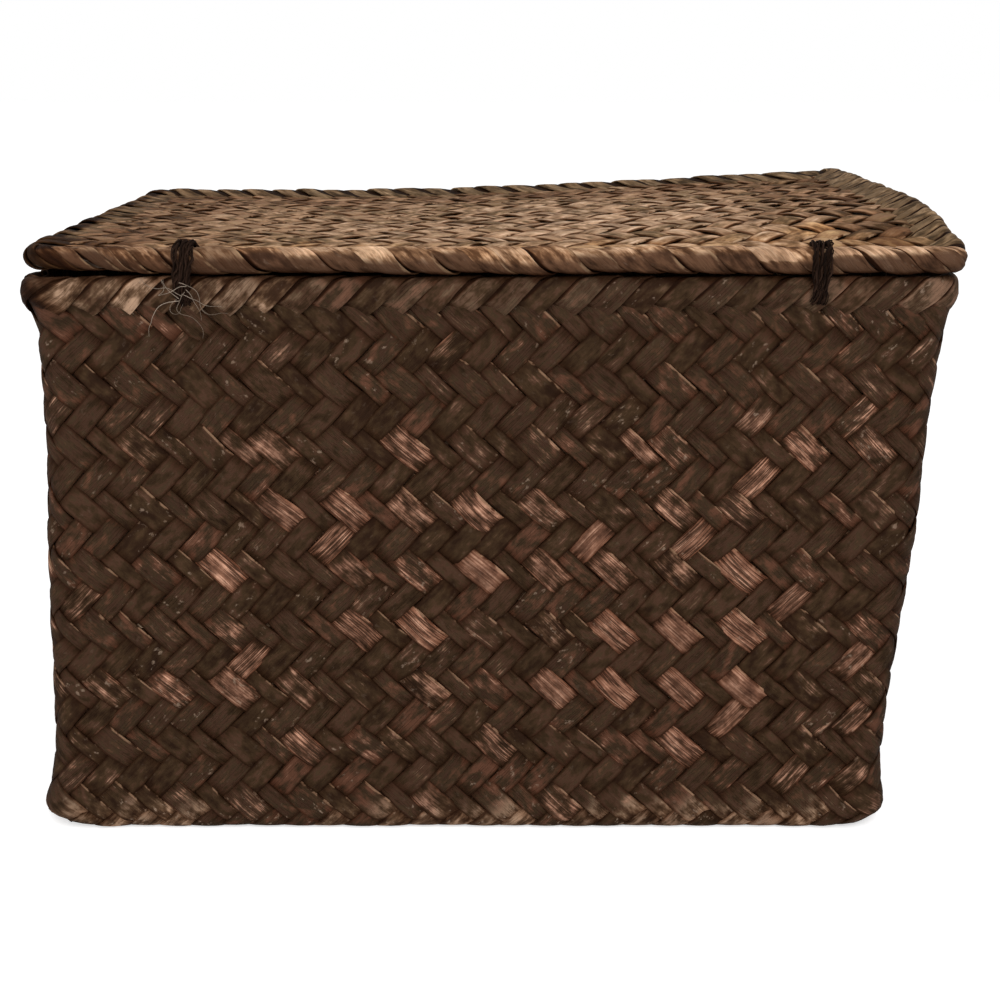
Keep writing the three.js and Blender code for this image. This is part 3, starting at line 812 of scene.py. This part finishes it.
def tie_cord(strands, tie_x):
    """Loosely twisted strands on the tie's way, and a knot inside at each end."""
    path = resample(tie_path(tie_x), CORD_STEP)
    side, up = frames_along(path)
    u = np.arange(len(path)) * CORD_STEP
    gather = TIE_GATHER * ramp(path[:, 2], HINGE[2], TIE_LEG_FOOT - TIE_RADIUS)
    path[:, 0] -= gather * (path[:, 0] - tie_x)
    for k in range(CORD_STRANDS):
        turn = 2 * math.pi * (u / CORD_TWIST + k / CORD_STRANDS) + wobble(u, 25, 0.8)
        offset = CORD_CORE * (1 + wobble(u, 18, 0.25))
        shift = offset[:, None] * (np.cos(turn)[:, None] * side + np.sin(turn)[:, None] * up)
        shift[:, 0] += wobble(u, 40, 0.6)
        add_tube(strands, path + shift, rng.uniform(0.18, 0.4), {"tone": rng.uniform()})
    knot(strands, path[0], -1)
    knot(strands, path[-1], 1)


def fray(strands, tie_x, count, length):
    """Loose fibres that curl round a tie, below where the opened lid lies."""
    front = HINGE[1] - TIE_RADIUS - FIBRE_GAP
    top = HINGE[2] - ROLL_RADIUS
    for i in range(count):
        steps = int(rng.uniform(0.4, 1.0) * length / FIBRE_STEP)
        place = np.array([tie_x + rng.uniform(-3, 3), front, top - rng.uniform(0.5, 9)])
        way = 1 if i % 3 == 0 else -1
        heading = np.array([way * rng.uniform(0.5, 1.0), 0.0, rng.uniform(-0.9, 0.5)])
        bend = rng.normal(0, 1, 3) * (0.02, 0.03, 0.02)
        points = [place]
        for _ in range(steps):
            heading = heading / np.linalg.norm(heading)
            place = place + FIBRE_STEP * heading
            place[1] = min(max(place[1], front - FIBRE_REACH), front)
            if place[2] > top:
                heading[2] = -abs(heading[2])
            points.append(place)
            bend = 0.85 * bend + rng.normal(0, 1, 3) * (0.02, 0.04, 0.02)
            heading = heading + np.cross(bend, heading)
        radius = np.linspace(rng.uniform(0.12, 0.22), 0.06, len(points))
        add_tube(strands, np.array(points), radius, {"tone": rng.uniform(), "shade": rng.uniform()}, 5)


# Materials
def srgb(red, green, blue):
    """A colour as the eye reads it, from 0 to 255, as linear light."""
    values = np.array([red, green, blue]) / 255
    linear = np.where(values <= 0.04045, values / 12.92, ((values + 0.055) / 1.055) ** 2.4)
    return (*linear.tolist(), 1.0)


class Nodes:
    """Short words for a material's nodes."""

    def __init__(self, name):
        self.material = bpy.data.materials.new(name)
        self.material.use_nodes = True
        self.tree = self.material.node_tree
        self.shader = self.tree.nodes["Principled BSDF"]

    def new(self, kind, **settings):
        node = self.tree.nodes.new(kind)
        for key, value in settings.items():
            setattr(node, key, value)
        return node

    def put(self, socket, value):
        if isinstance(value, bpy.types.NodeSocket):
            self.tree.links.new(value, socket)
        else:
            socket.default_value = value

    def vector(self, name):
        return self.new("ShaderNodeAttribute", attribute_name=name).outputs["Vector"]

    def number(self, name):
        return self.new("ShaderNodeAttribute", attribute_name=name).outputs["Fac"]

    def parts(self, vector):
        node = self.new("ShaderNodeSeparateXYZ")
        self.put(node.inputs[0], vector)
        return node.outputs

    def math(self, operation, a, b=0.0):
        node = self.new("ShaderNodeMath", operation=operation)
        self.put(node.inputs[0], a)
        self.put(node.inputs[1], b)
        return node.outputs[0]

    def times(self, a, b):
        return self.math("MULTIPLY", a, b)

    def minus(self, a, b):
        return self.math("SUBTRACT", a, b)

    def plus(self, first, *others):
        for other in others:
            first = self.math("ADD", first, other)
        return first

    def centred(self, value, gain):
        """A noise value's distance from its middle, times a gain."""
        return self.times(self.minus(value, 0.5), gain)

    def ramp(self, value, low, high):
        """0 at low and 1 at high, smooth between."""
        node = self.new("ShaderNodeMapRange", interpolation_type="SMOOTHSTEP")
        self.put(node.inputs["Value"], value)
        self.put(node.inputs["From Min"], low)
        self.put(node.inputs["From Max"], high)
        return node.outputs["Result"]

    def noise(self, vector, stretch, detail=3.0, roughness=0.55):
        scaled = self.new("ShaderNodeVectorMath", operation="MULTIPLY")
        self.put(scaled.inputs[0], vector)
        self.put(scaled.inputs[1], stretch)
        node = self.new("ShaderNodeTexNoise")
        self.put(node.inputs["Vector"], scaled.outputs[0])
        self.put(node.inputs["Scale"], 1.0)
        self.put(node.inputs["Detail"], detail)
        self.put(node.inputs["Roughness"], roughness)
        return node.outputs["Fac"]

    def mix(self, share, a, b, blend="MIX"):
        node = self.new("ShaderNodeMix", data_type="RGBA", blend_type=blend)
        self.put(node.inputs[0], share)
        self.put(node.inputs[6], a)
        self.put(node.inputs[7], b)
        return node.outputs[2]

    def grey(self, value):
        node = self.new("ShaderNodeCombineColor")
        for channel in node.inputs:
            self.put(channel, value)
        return node.outputs[0]

    def colours(self, value, stops):
        node = self.new("ShaderNodeValToRGB")
        elements = node.color_ramp.elements
        while len(elements) < len(stops):
            elements.new(0.5)
        for element, (place, colour) in zip(elements, stops):
            element.position = place
            element.color = colour
        self.put(node.inputs[0], value)
        return node.outputs[0]

    def bump(self, height, distance, strength=1.0):
        node = self.new("ShaderNodeBump")
        self.put(node.inputs["Height"], height)
        self.put(node.inputs["Distance"], distance)
        self.put(node.inputs["Strength"], strength)
        self.put(self.shader.inputs["Normal"], node.outputs[0])


DARK = [
    (0.2, srgb(49, 32, 21)),
    (0.4, srgb(60, 44, 29)),
    (0.52, srgb(70, 48, 36)),
    (0.62, srgb(59, 45, 31)),
    (0.8, srgb(84, 55, 41)),
]
WORN = [(0.34, srgb(92, 60, 46)), (0.5, srgb(133, 92, 72)), (0.66, srgb(194, 149, 124))]
TAN = [(0.36, srgb(66, 44, 30)), (0.5, srgb(110, 83, 62)), (0.64, srgb(170, 138, 113))]
# The lid's top palettes are paler than the walls', partly for rubbing and partly as a painted sheen where the
# top faces the light at a grazing angle
LID_DARK = [
    (0.2, srgb(108, 83, 55)),
    (0.4, srgb(146, 115, 83)),
    (0.6, srgb(182, 143, 111)),
    (0.8, srgb(136, 110, 79)),
]
LID_WORN = [(0.34, srgb(150, 108, 76)), (0.5, srgb(200, 160, 126)), (0.66, srgb(242, 214, 186))]
LID_TAN = [(0.36, srgb(152, 106, 68)), (0.5, srgb(202, 152, 104)), (0.64, srgb(234, 190, 138))]
ROLL_DARK = [(0.2, srgb(66, 44, 31)), (0.5, srgb(94, 66, 48)), (0.8, srgb(82, 60, 46))]
ROLL_WORN = [(0.34, srgb(152, 110, 80)), (0.5, srgb(200, 158, 124)), (0.66, srgb(236, 202, 170))]
ROLL_TAN = [(0.38, srgb(114, 78, 52)), (0.5, srgb(180, 136, 100)), (0.62, srgb(230, 190, 152))]
OLIVE = [(0.2, srgb(64, 48, 32)), (0.5, srgb(110, 87, 62)), (0.8, srgb(86, 65, 44))]
OLIVE_WORN = [(0.34, srgb(114, 88, 60)), (0.5, srgb(154, 123, 92)), (0.66, srgb(202, 170, 134))]
LINING_DARK = [(0.2, srgb(66, 50, 38)), (0.5, srgb(84, 64, 48)), (0.8, srgb(76, 60, 46))]
# Painted highlights along a strip's raised right edge, where it catches the light
EDGE_HIGHLIGHT = srgb(156, 122, 96)
PALE_EDGE_HIGHLIGHT = srgb(206, 174, 142)
DULL_EDGE_HIGHLIGHT = srgb(172, 144, 112)
SCUFF = srgb(154, 131, 112)
SHADE = srgb(26, 12, 5)
HALF_SHADE = srgb(235, 190, 150)


def strip_noises(n):
    """A strip's noises: clouds, fibres that run along it, fine ones, splits between them, and flecks."""
    grain = n.vector("grain")
    return SimpleNamespace(
        cloud=n.noise(grain, (0.15, 0.25, 1.0)),
        fibre=n.noise(grain, (0.05, 1.5, 2.0), 4.0, 0.6),
        fine=n.noise(grain, (0.35, 5.0, 3.0), 2.0),
        split=n.noise(grain, (0.035, 0.75, 5.0), 1.0),
        fleck=n.noise(grain, (0.3, 0.4, 7.0), 3.0, 0.6),
    )


def stained_colour(n, noise, dark, tan, contrast, grainy):
    """The stain where a strip isn't rubbed, with its own tone for each strip and float."""
    shade = n.number("shade")
    own = n.plus(n.times(n.number("tone"), 0.25), n.times(shade, 0.35))
    base = n.colours(n.plus(own, 0.2, n.centred(noise.cloud, 1.0)), dark)
    patchy = n.plus(n.centred(noise.fibre, 0.35 * grainy), noise.cloud, n.centred(shade, 0.2))
    base = n.mix(n.number("tan"), base, n.colours(patchy, tan))
    streaks = n.plus(n.centred(noise.fibre, 0.35 * grainy), n.centred(noise.fine, 0.15 * grainy))
    light = n.plus(1.0, n.times(n.plus(n.centred(noise.cloud, 1.4), streaks), contrast))
    return n.mix(1.0, base, n.grey(light), "MULTIPLY")


def bare_colour(n, noise, across, worn, grainy):
    """A rubbed float's colour, brighter toward the strip's right edge."""
    pick = n.plus(0.5, n.centred(noise.fibre, 0.65 * grainy), n.centred(noise.cloud, 0.35))
    bright = n.plus(0.55, n.times(n.number("shade"), 0.5), n.times(n.ramp(across, -0.2, 0.9), 0.25))
    light = n.grey(n.plus(bright, n.centred(noise.cloud, 1.6)))
    return n.mix(1.0, n.colours(pick, worn), light, "MULTIPLY")


def split_lines(n, noise):
    """1 on the thin dark lines where the grain has split, on all but the darkest floats."""
    line = n.math("ABSOLUTE", n.minus(noise.split, 0.5))
    line = n.minus(1.0, n.ramp(line, 0.012, 0.07))
    return n.times(line, n.ramp(n.number("shade"), 0.1, 0.5))


def bare_share(n, noise, along, grainy):
    """How bare a float is rubbed: raggedly, and less at its ends."""
    ragged = n.times(n.plus(n.centred(noise.fibre, 0.7), n.centred(noise.fine, 0.25)), grainy)
    amount = n.plus(n.number("wear"), n.centred(noise.cloud, 0.8), ragged)
    amount = n.minus(amount, n.times(n.ramp(along, 0.4, 0.9), 0.2))
    return n.times(n.ramp(amount, 0.32, 0.7), 0.95)


def lit_share(n, across, along, edge, hollow_shade):
    """What the painted shadows leave: at a float's ends, along its seams or under the next wrap, and in
    gloom.
    """
    side = n.math("ABSOLUTE", across)
    # A painted shadow of the next strip lies on the covered side, and spreads further the greater this number
    # is
    overlap_shadow = n.number("overlap_shadow")
    covered = n.minus(0.22, n.times(n.plus(across, side), 0.5))
    seam_shade = n.ramp(n.plus(side, n.times(overlap_shadow, covered)), 0.76, 1.0)
    seam_shade = n.times(seam_shade, n.plus(hollow_shade, n.times(overlap_shadow, 0.4)))
    # no painted seam shadow where the painted edge highlight lies
    seam_shade = n.math("MINIMUM", n.times(seam_shade, n.minus(1.0, edge)), 0.95)
    lit = n.times(n.minus(1.0, seam_shade), n.minus(1.0, n.number("gloom")))
    return n.times(lit, n.minus(1.0, n.times(n.ramp(along, 0.45, 0.95), hollow_shade)))


def strip_material(name, dark, worn, tan, cracks=0.85, rim=EDGE_HIGHLIGHT, contrast=1.0, hollow_shade=0.5, grainy=1.0):
    """Stained leaf strips: a tone for each strip and float, rubbed floats with split grain, scuffs, a painted
    highlight along some right edges, and painted shade.
    """
    n = Nodes(name)
    noise = strip_noises(n)
    spot = n.parts(n.vector("spot"))
    across = spot[0]
    along = n.math("ABSOLUTE", spot[1])
    line = split_lines(n, noise)
    bare = n.mix(n.times(line, cracks), bare_colour(n, noise, across, worn, grainy), dark[0][1])
    stained = stained_colour(n, noise, dark, tan, contrast, grainy)
    colour = n.mix(bare_share(n, noise, along, grainy), stained, bare)

    # A painted highlight along the right edge of some floats, broken up by clouds
    edge = n.times(n.ramp(across, 0.8, 0.9), n.number("rim"))
    edge = n.times(edge, n.ramp(noise.cloud, 0.44, 0.56))
    colour = n.mix(n.times(edge, 0.6), colour, rim)
    scuff = n.times(n.ramp(noise.fleck, 0.6, 0.72), n.number("scuff"))
    colour = n.mix(n.math("MINIMUM", n.times(scuff, 0.5), 0.7), colour, SCUFF)

    # Painted shade, warm where it is deep: at float ends, along seams, under the next strip and in gloom
    lit = lit_share(n, across, along, edge, hollow_shade)
    colour = n.mix(1.0, colour, n.mix(lit, HALF_SHADE, WHITE), "MULTIPLY")
    colour = n.mix(lit, SHADE, colour)
    n.put(n.shader.inputs["Base Color"], colour)
    n.put(n.shader.inputs["Roughness"], n.minus(0.7, n.times(noise.fibre, 0.2)))
    n.put(n.shader.inputs["Specular IOR Level"], 0.03)
    relief = n.plus(n.times(noise.fibre, 0.6), n.times(noise.fine, 0.25), n.times(line, -0.5))
    n.bump(relief, 0.0004)
    return n.material


def cord_material(name, dark, light):
    n = Nodes(name)
    fibre = n.noise(n.vector("grain"), (0.3, 3.0, 2.0), 4.0, 0.6)
    pick = n.plus(n.times(fibre, 0.7), n.times(n.number("tone"), 0.3))
    n.put(n.shader.inputs["Base Color"], n.colours(pick, [(0.3, dark), (0.75, light)]))
    n.put(n.shader.inputs["Roughness"], n.plus(0.6, n.times(fibre, 0.3)))
    n.put(n.shader.inputs["Specular IOR Level"], 0.05)
    n.bump(fibre, 0.0005)
    return n.material


def rod_material():
    n = Nodes("bare rod")
    place = n.new("ShaderNodeTexCoord").outputs["Object"]
    fibre = n.noise(place, (300.0, 300.0, 900.0), 4.0, 0.6)
    n.put(n.shader.inputs["Base Color"], n.colours(fibre, [(0.3, srgb(40, 28, 18)), (0.7, srgb(74, 54, 36))]))
    n.put(n.shader.inputs["Roughness"], n.plus(0.5, n.times(fibre, 0.3)))
    n.bump(fibre, 0.0003)
    return n.material


wall_material = strip_material("stained plait", DARK, WORN, TAN)
lid_material = strip_material(
    "rubbed plait with painted sheen",
    LID_DARK,
    LID_WORN,
    LID_TAN,
    cracks=0.2,
    rim=PALE_EDGE_HIGHLIGHT,
    contrast=1.5,
    hollow_shade=0.72,
    grainy=0.4,
)
roll_material = strip_material(
    "wrapped strips",
    ROLL_DARK,
    ROLL_WORN,
    ROLL_TAN,
    cracks=0.3,
    rim=DULL_EDGE_HIGHLIGHT,
    contrast=1.4,
    hollow_shade=0.7,
    grainy=0.5,
)
olive_material = strip_material(
    "olive wrapped strips",
    OLIVE,
    OLIVE_WORN,
    OLIVE_WORN,
    cracks=0.4,
    rim=DULL_EDGE_HIGHLIGHT,
    contrast=1.3,
    grainy=0.6,
)
lining_material = strip_material("lining plait", LINING_DARK, LID_WORN, TAN, cracks=0.4)
tie_material = cord_material("tie cord", srgb(16, 9, 6), srgb(60, 41, 31))
loose_material = cord_material("loose fibre", srgb(120, 104, 90), srgb(190, 172, 154))


def dress(piece, body, slot, *nodes):
    """Let a piece ride on a body and take the place of CAD nodes; its slot is not used."""
    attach(piece, body)
    if nodes:
        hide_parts(*nodes)


FAMILIES = ((False, "left"), (True, "right"))


def walls():
    halves = np.array_split(np.arange(WALL_STRIPS), 2)
    for rising, word in FAMILIES:
        for part, numbers in enumerate(halves):
            strands = Strands()
            plait_wall(rising, numbers, strands)
            piece = strands.build(f"wall_strips_{word}_{part + 1}", wall_material)
            dress(piece, "box_body", "dark_plait", "body_outer_plait", "body_rim_fold")


PLAIN = {
    "step": PLAIN_POINT_STEP,
    "relief": PLAIN_RELIEF,
    "rough": 0.0,
    "lift": (0.9, 1.1),
    "share": PLAIN_SHARE,
    "cup": PLAIN_CUP,
    "tilt": 0.0,
    "scuff": 0.3,
    "wear": lambda x, y: 0.3 * np.ones_like(x),
    "tan": lambda x, y: np.zeros_like(x),
    "gloom": lambda x, y: np.zeros_like(x),
}


def panel_spot(x, y):
    """A pale spot on the lid's top, near the right tie."""
    return hill(x, y, (128, -84), (9, 11))


def panel_wear(x, y):
    """The lid's top is rubbed most round its middle, a little to the right and toward the tied side."""
    return (0.35 + 0.4 * hill(x, y, (30, -30), (100, 75))) * (1 - panel_spot(x, y))


def panel_tan(x, y):
    """The lid's top is rubbed to tan along the tied side, and most at the pale spot."""
    along_ties = ramp(y, -72, -102) * (0.5 + 0.5 * (np.abs(x) < 110))
    return np.maximum(along_ties, 3 * panel_spot(x, y))


def panel_gloom(x, y):
    """The lid's top is darker at both ends and along its far side."""
    return 0.6 * np.maximum(ramp(y, 30, 100), ramp(np.abs(x), 80, 160)) * (1 - panel_spot(x, y))


def lid():
    look = PLAIN | {"step": POINT_STEP, "relief": 0.8, "rough": 0.6, "lift": (0.75, 1.3)}
    look |= {"share": 0.96, "cup": 0.25, "tilt": 0.35, "scuff": 0.2}
    look |= {"wear": panel_wear, "tan": panel_tan, "gloom": panel_gloom}
    top = Strands()
    plait_flat(top, panel_surface, PANEL_HALF, ROLL.corner, look)
    dress(top.build("lid_top_strips", lid_material), "lid", "worn_plait", "lid_top_plait")
    under = Strands()
    plait_flat(under, underside_surface, PANEL_HALF, ROLL.corner, PLAIN, flip=True)
    dress(under.build("lid_lining_strips", lining_material), "lid", "lining_plait", "lid_inner_lining")
    front, rest = Strands(), Strands()
    wrap_roll(front, rest)
    dress(front.build("lid_roll_tan_wraps", roll_material), "lid", "rim_strip", "lid_rim_roll")
    dress(rest.build("lid_roll_olive_wraps", olive_material), "lid", "rim_strip", "lid_rim_roll")


def base_and_lining():
    base = Strands()
    plait_flat(base, base_surface, BASE_HALF, BASE_CORNER, PLAIN, flip=True)
    dress(base.build("base_strips", wall_material), "box_body", "dark_plait", "body_outer_plait")
    floor = Strands()
    plait_flat(floor, floor_surface, FLOOR_HALF, FLOOR_CORNER, PLAIN)
    dress(floor.build("floor_strips", lining_material), "box_body", "lining_plait", "body_inner_lining")
    for rising, word in FAMILIES:
        lining = Strands()
        line_walls(lining, rising)
        piece = lining.build(f"lining_strips_{word}", lining_material)
        dress(piece, "box_body", "lining_plait", "body_inner_lining")


def ties():
    for word in ("left", "right"):
        node = f"hinge_tie_{word}"
        tie_x = np.mean(node_box(node), axis=0)[0]
        strands = Strands()
        tie_cord(strands, tie_x)
        dress(strands.build(f"tie_cord_{word}", tie_material, crease=80), "box_body", "tie_cord", node)
        if word == "left":
            fibres = Strands()
            fray(fibres, tie_x, count=9, length=28)
            dress(fibres.build("tie_fray", loose_material, crease=80), "box_body", "tie_cord")


def hoops():
    material = rod_material()
    for node in ("body_rim_hoop", "lid_rim_hoop"):
        bpy.data.objects[node].material_slots[0].material = material


# Surroundings
def white_floor():
    """A white floor, on which the box's shadow shows."""
    mesh = bpy.data.meshes.new("floor")
    signs = [(-1, -1), (1, -1), (1, 1), (-1, 1)]
    mesh.from_pydata([(x * FLOOR_REACH, y * FLOOR_REACH, 0) for x, y in signs], [], [(0, 1, 2, 3)])
    floor = bpy.data.objects.new("floor", mesh)
    bpy.context.scene.collection.objects.link(floor)
    n = Nodes("white floor")
    n.put(n.shader.inputs["Base Color"], FLOOR_WHITE)
    n.put(n.shader.inputs["Roughness"], 0.9)
    n.put(n.shader.inputs["Specular IOR Level"], 0.0)
    n.put(n.shader.inputs["Emission Color"], WHITE)
    seen = n.new("ShaderNodeLightPath").outputs["Is Camera Ray"]
    n.put(n.shader.inputs["Emission Strength"], n.times(seen, FLOOR_GLOW))
    mesh.materials.append(n.material)


def white_world():
    """A surround that looks white and gives softer light."""
    world = bpy.data.worlds.new("studio")
    bpy.context.scene.world = world
    world.use_nodes = True
    tree = world.node_tree
    background = tree.nodes["Background"]
    path = tree.nodes.new("ShaderNodeLightPath")
    strength = tree.nodes.new("ShaderNodeMapRange")
    strength.inputs["To Min"].default_value = SKY_LIGHT
    strength.inputs["To Max"].default_value = 1.0
    tree.links.new(path.outputs["Is Camera Ray"], strength.inputs["Value"])
    tree.links.new(strength.outputs["Result"], background.inputs["Strength"])
    background.inputs["Color"].default_value = WHITE


def lamp(name, place, power):
    light = bpy.data.lights.new(name, "AREA")
    light.shape = "DISK"
    light.size = LAMP_SIZE
    light.energy = power
    holder = bpy.data.objects.new(name, light)
    holder.location = place
    holder.rotation_euler = (Vector(LAMP_AIM) - Vector(place)).to_track_quat("-Z", "Y").to_euler()
    bpy.context.scene.collection.objects.link(holder)


def camera():
    """In front of the tied side and above the lid."""
    lens = bpy.data.cameras.new("camera")
    lens.lens = CAMERA_LENS
    lens.sensor_width = CAMERA_SENSOR
    eye = bpy.data.objects.new("camera", lens)
    edge = np.array([LID_MIDDLE[0], HINGE[1] - ROLL_RADIUS, HINGE[2] + ROLL_RADIUS])
    eye.location = (edge + CAMERA_OFFSET) * MM
    eye.rotation_euler = (math.radians(90 - CAMERA_DROP), 0, 0)
    bpy.context.scene.collection.objects.link(eye)
    bpy.context.scene.camera = eye


camera()
walls()
lid()
base_and_lining()
ties()
hoops()
white_floor()
white_world()
lamp("key", (0.25, -1.4, 1.35), 14)
lamp("fill", (-1.0, -1.2, 0.6), 4)
bpy.context.scene.view_settings.view_transform = "Standard"
